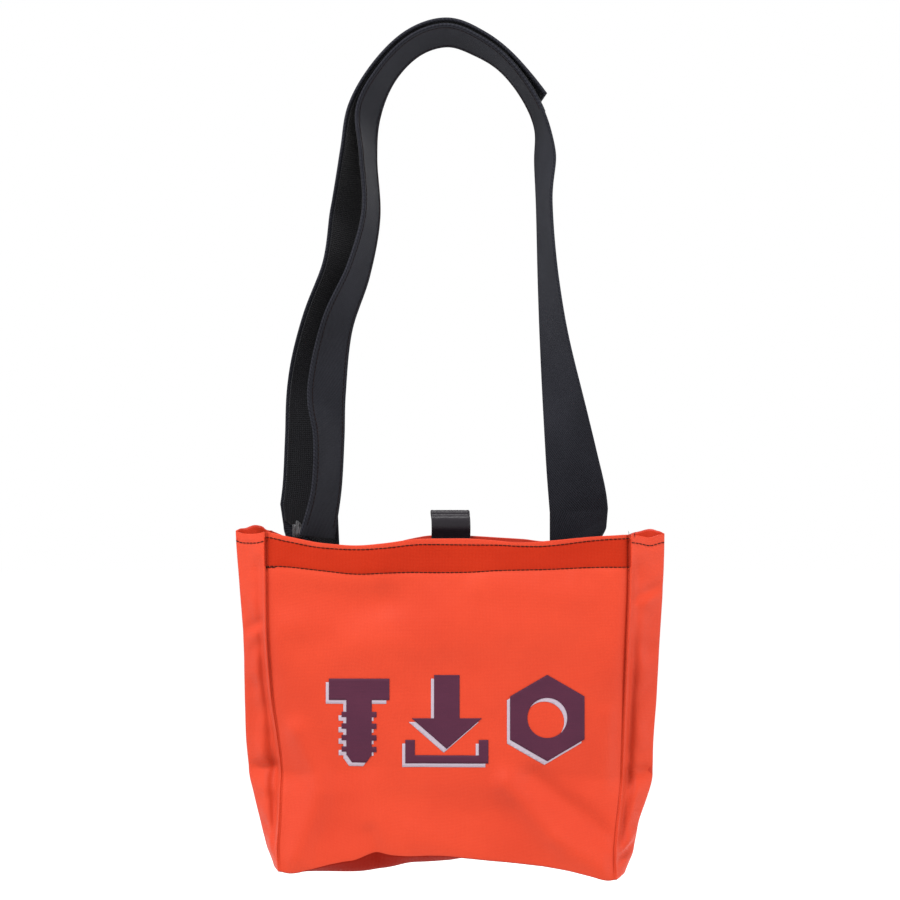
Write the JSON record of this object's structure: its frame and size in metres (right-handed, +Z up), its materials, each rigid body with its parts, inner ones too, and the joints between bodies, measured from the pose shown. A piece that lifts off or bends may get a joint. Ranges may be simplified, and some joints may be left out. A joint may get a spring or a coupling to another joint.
{
  "type": "waist belt debris pouch",
  "caption": "Open-topped coated-nylon pouch with folding side gussets, a hook-and-loop waist belt threaded through a sleeve on its back, and a small hang loop.",
  "frame": {"origin": "inside of the belt at the crown of its loop, where the pouch hangs", "axes": "+Z up along the hanging belt, +X to the right across the pouch as its printed front is seen, +Y towards the wearer behind the pouch"},
  "size_m": [0.2746, 0.0666, 0.5372],
  "materials": {
    "orange_nylon": "tight plain-weave nylon with a coated back, low sheen",
    "belt_webbing": "twill-woven nylon webbing, low sheen",
    "loop_webbing": "smooth satin-faced webbing",
    "hook_tape": "rows of short stiff hooks",
    "loop_tape": "brushed pile",
    "black_thread": "bonded polyester thread",
    "print_plum": "heat-pressed transfer film",
    "print_grey": "heat-pressed transfer film",
    "frayed_fibre": "frayed tape fibres"
  },
  "bodies": {
    "strap": {"belt_inner_layer": "belt_webbing", "belt_outer_layer": "belt_webbing", "hook_tape": "hook_tape", "loop_tape": "loop_tape", "hook_tape_stitching": "black_thread", "loop_tape_stitching": "black_thread"},
    "tab": {"belt_end_tab": "belt_webbing"},
    "pouch": {"bottom_panel": "orange_nylon", "back_panel": "orange_nylon", "back_hem": "orange_nylon", "back_hem_stitching": "black_thread", "left_gusset_rear_leaf": "orange_nylon", "right_gusset_rear_leaf": "orange_nylon", "left_rear_hem_thread": "black_thread", "right_rear_hem_thread": "black_thread", "back_seam_thread": "black_thread", "belt_sleeve": "orange_nylon", "sleeve_stitching": "black_thread", "belt_back_run": "belt_webbing", "hang_loop_tail": "loop_webbing", "hang_loop_tack": "black_thread", "frayed_thread_tuft": "frayed_fibre"},
    "front": {"front_panel": "orange_nylon", "front_hem": "orange_nylon", "front_hem_stitching": "black_thread", "left_gusset_front_leaf": "orange_nylon", "right_gusset_front_leaf": "orange_nylon", "left_front_hem_thread": "black_thread", "right_front_hem_thread": "black_thread", "front_seam_thread": "black_thread", "print_bolt": "print_plum", "print_arrow": "print_plum", "print_nut": "print_plum", "print_shadow": "print_grey", "corner_loose_threads": "black_thread"},
    "loop": {"hang_loop": "loop_webbing"}
  },
  "joints": [
    {"name": "pouch_swing", "type": "hinge", "parent": "strap", "child": "pouch", "pos_m": [0, 0.019, -0.3075], "axis": [1, 0, 0], "range_deg": [-6, 90]},
    {"name": "mouth_open", "type": "hinge", "parent": "pouch", "child": "front", "pos_m": [0, -0.046, -0.5275], "axis": [1, 0, 0], "range_deg": [0, 7]},
    {"name": "hang_loop_bend", "type": "hinge", "parent": "pouch", "child": "loop", "pos_m": [0, 0, -0.3184], "axis": [1, 0, 0], "range_deg": [-30, 50], "stiffness_Nm_per_rad": 0.004},
    {"name": "tab_peel", "type": "hinge", "parent": "strap", "child": "tab", "pos_m": [0.03765, 0.00008, -0.01465], "axis": [0.0593, -0.9963, 0.0626], "range_deg": [0, 60], "stiffness_Nm_per_rad": 0.01}
  ]
}
